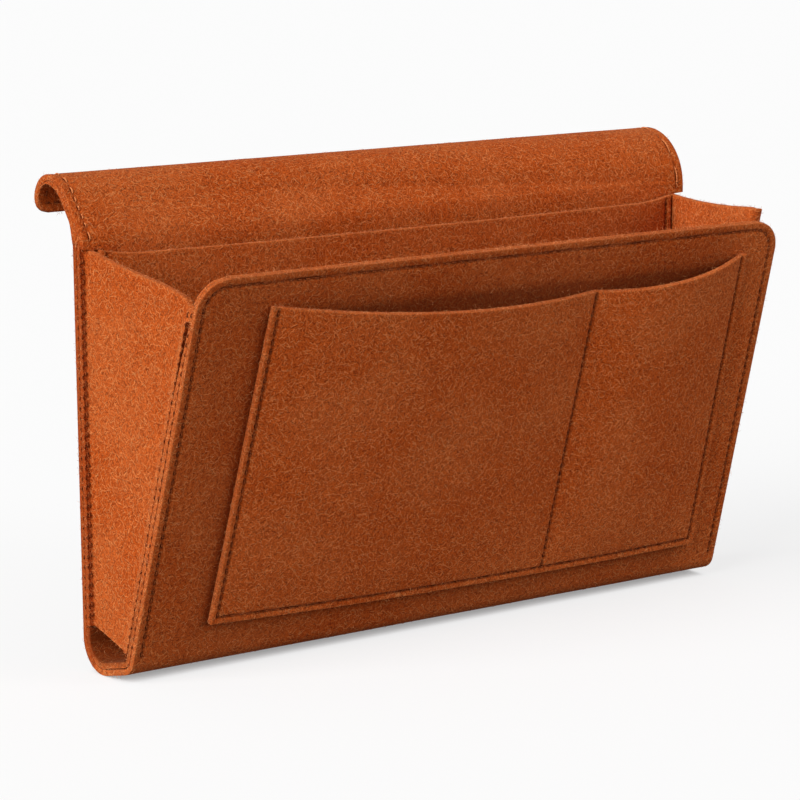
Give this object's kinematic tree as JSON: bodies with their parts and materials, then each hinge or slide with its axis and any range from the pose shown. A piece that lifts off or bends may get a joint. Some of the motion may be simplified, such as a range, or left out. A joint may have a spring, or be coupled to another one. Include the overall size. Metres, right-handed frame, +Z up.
{
  "type": "bedside caddy",
  "caption": "Wool-felt bedside caddy: folded body with hook flap, side gussets, inner pocket and divided front pocket.",
  "frame": {"origin": "middle of the flat of the base, on the surface that the caddy stands on", "axes": "+X to the right along the caddy's width, seen from the front; +Y to the rear, where the back wall and hook are; +Z up"},
  "size_m": [0.333, 0.1231, 0.21],
  "materials": {
    "felt": "burnt-orange wool felt, 3 mm, with short loose fibres"
  },
  "bodies": {
    "root": {"outer_shell": "felt", "front_lining": "felt", "back_lining": "felt", "hook_flap": "felt", "left_gusset": "felt", "right_gusset": "felt", "inner_pocket": "felt", "front_pocket": "felt"}
  },
  "joints": []
}
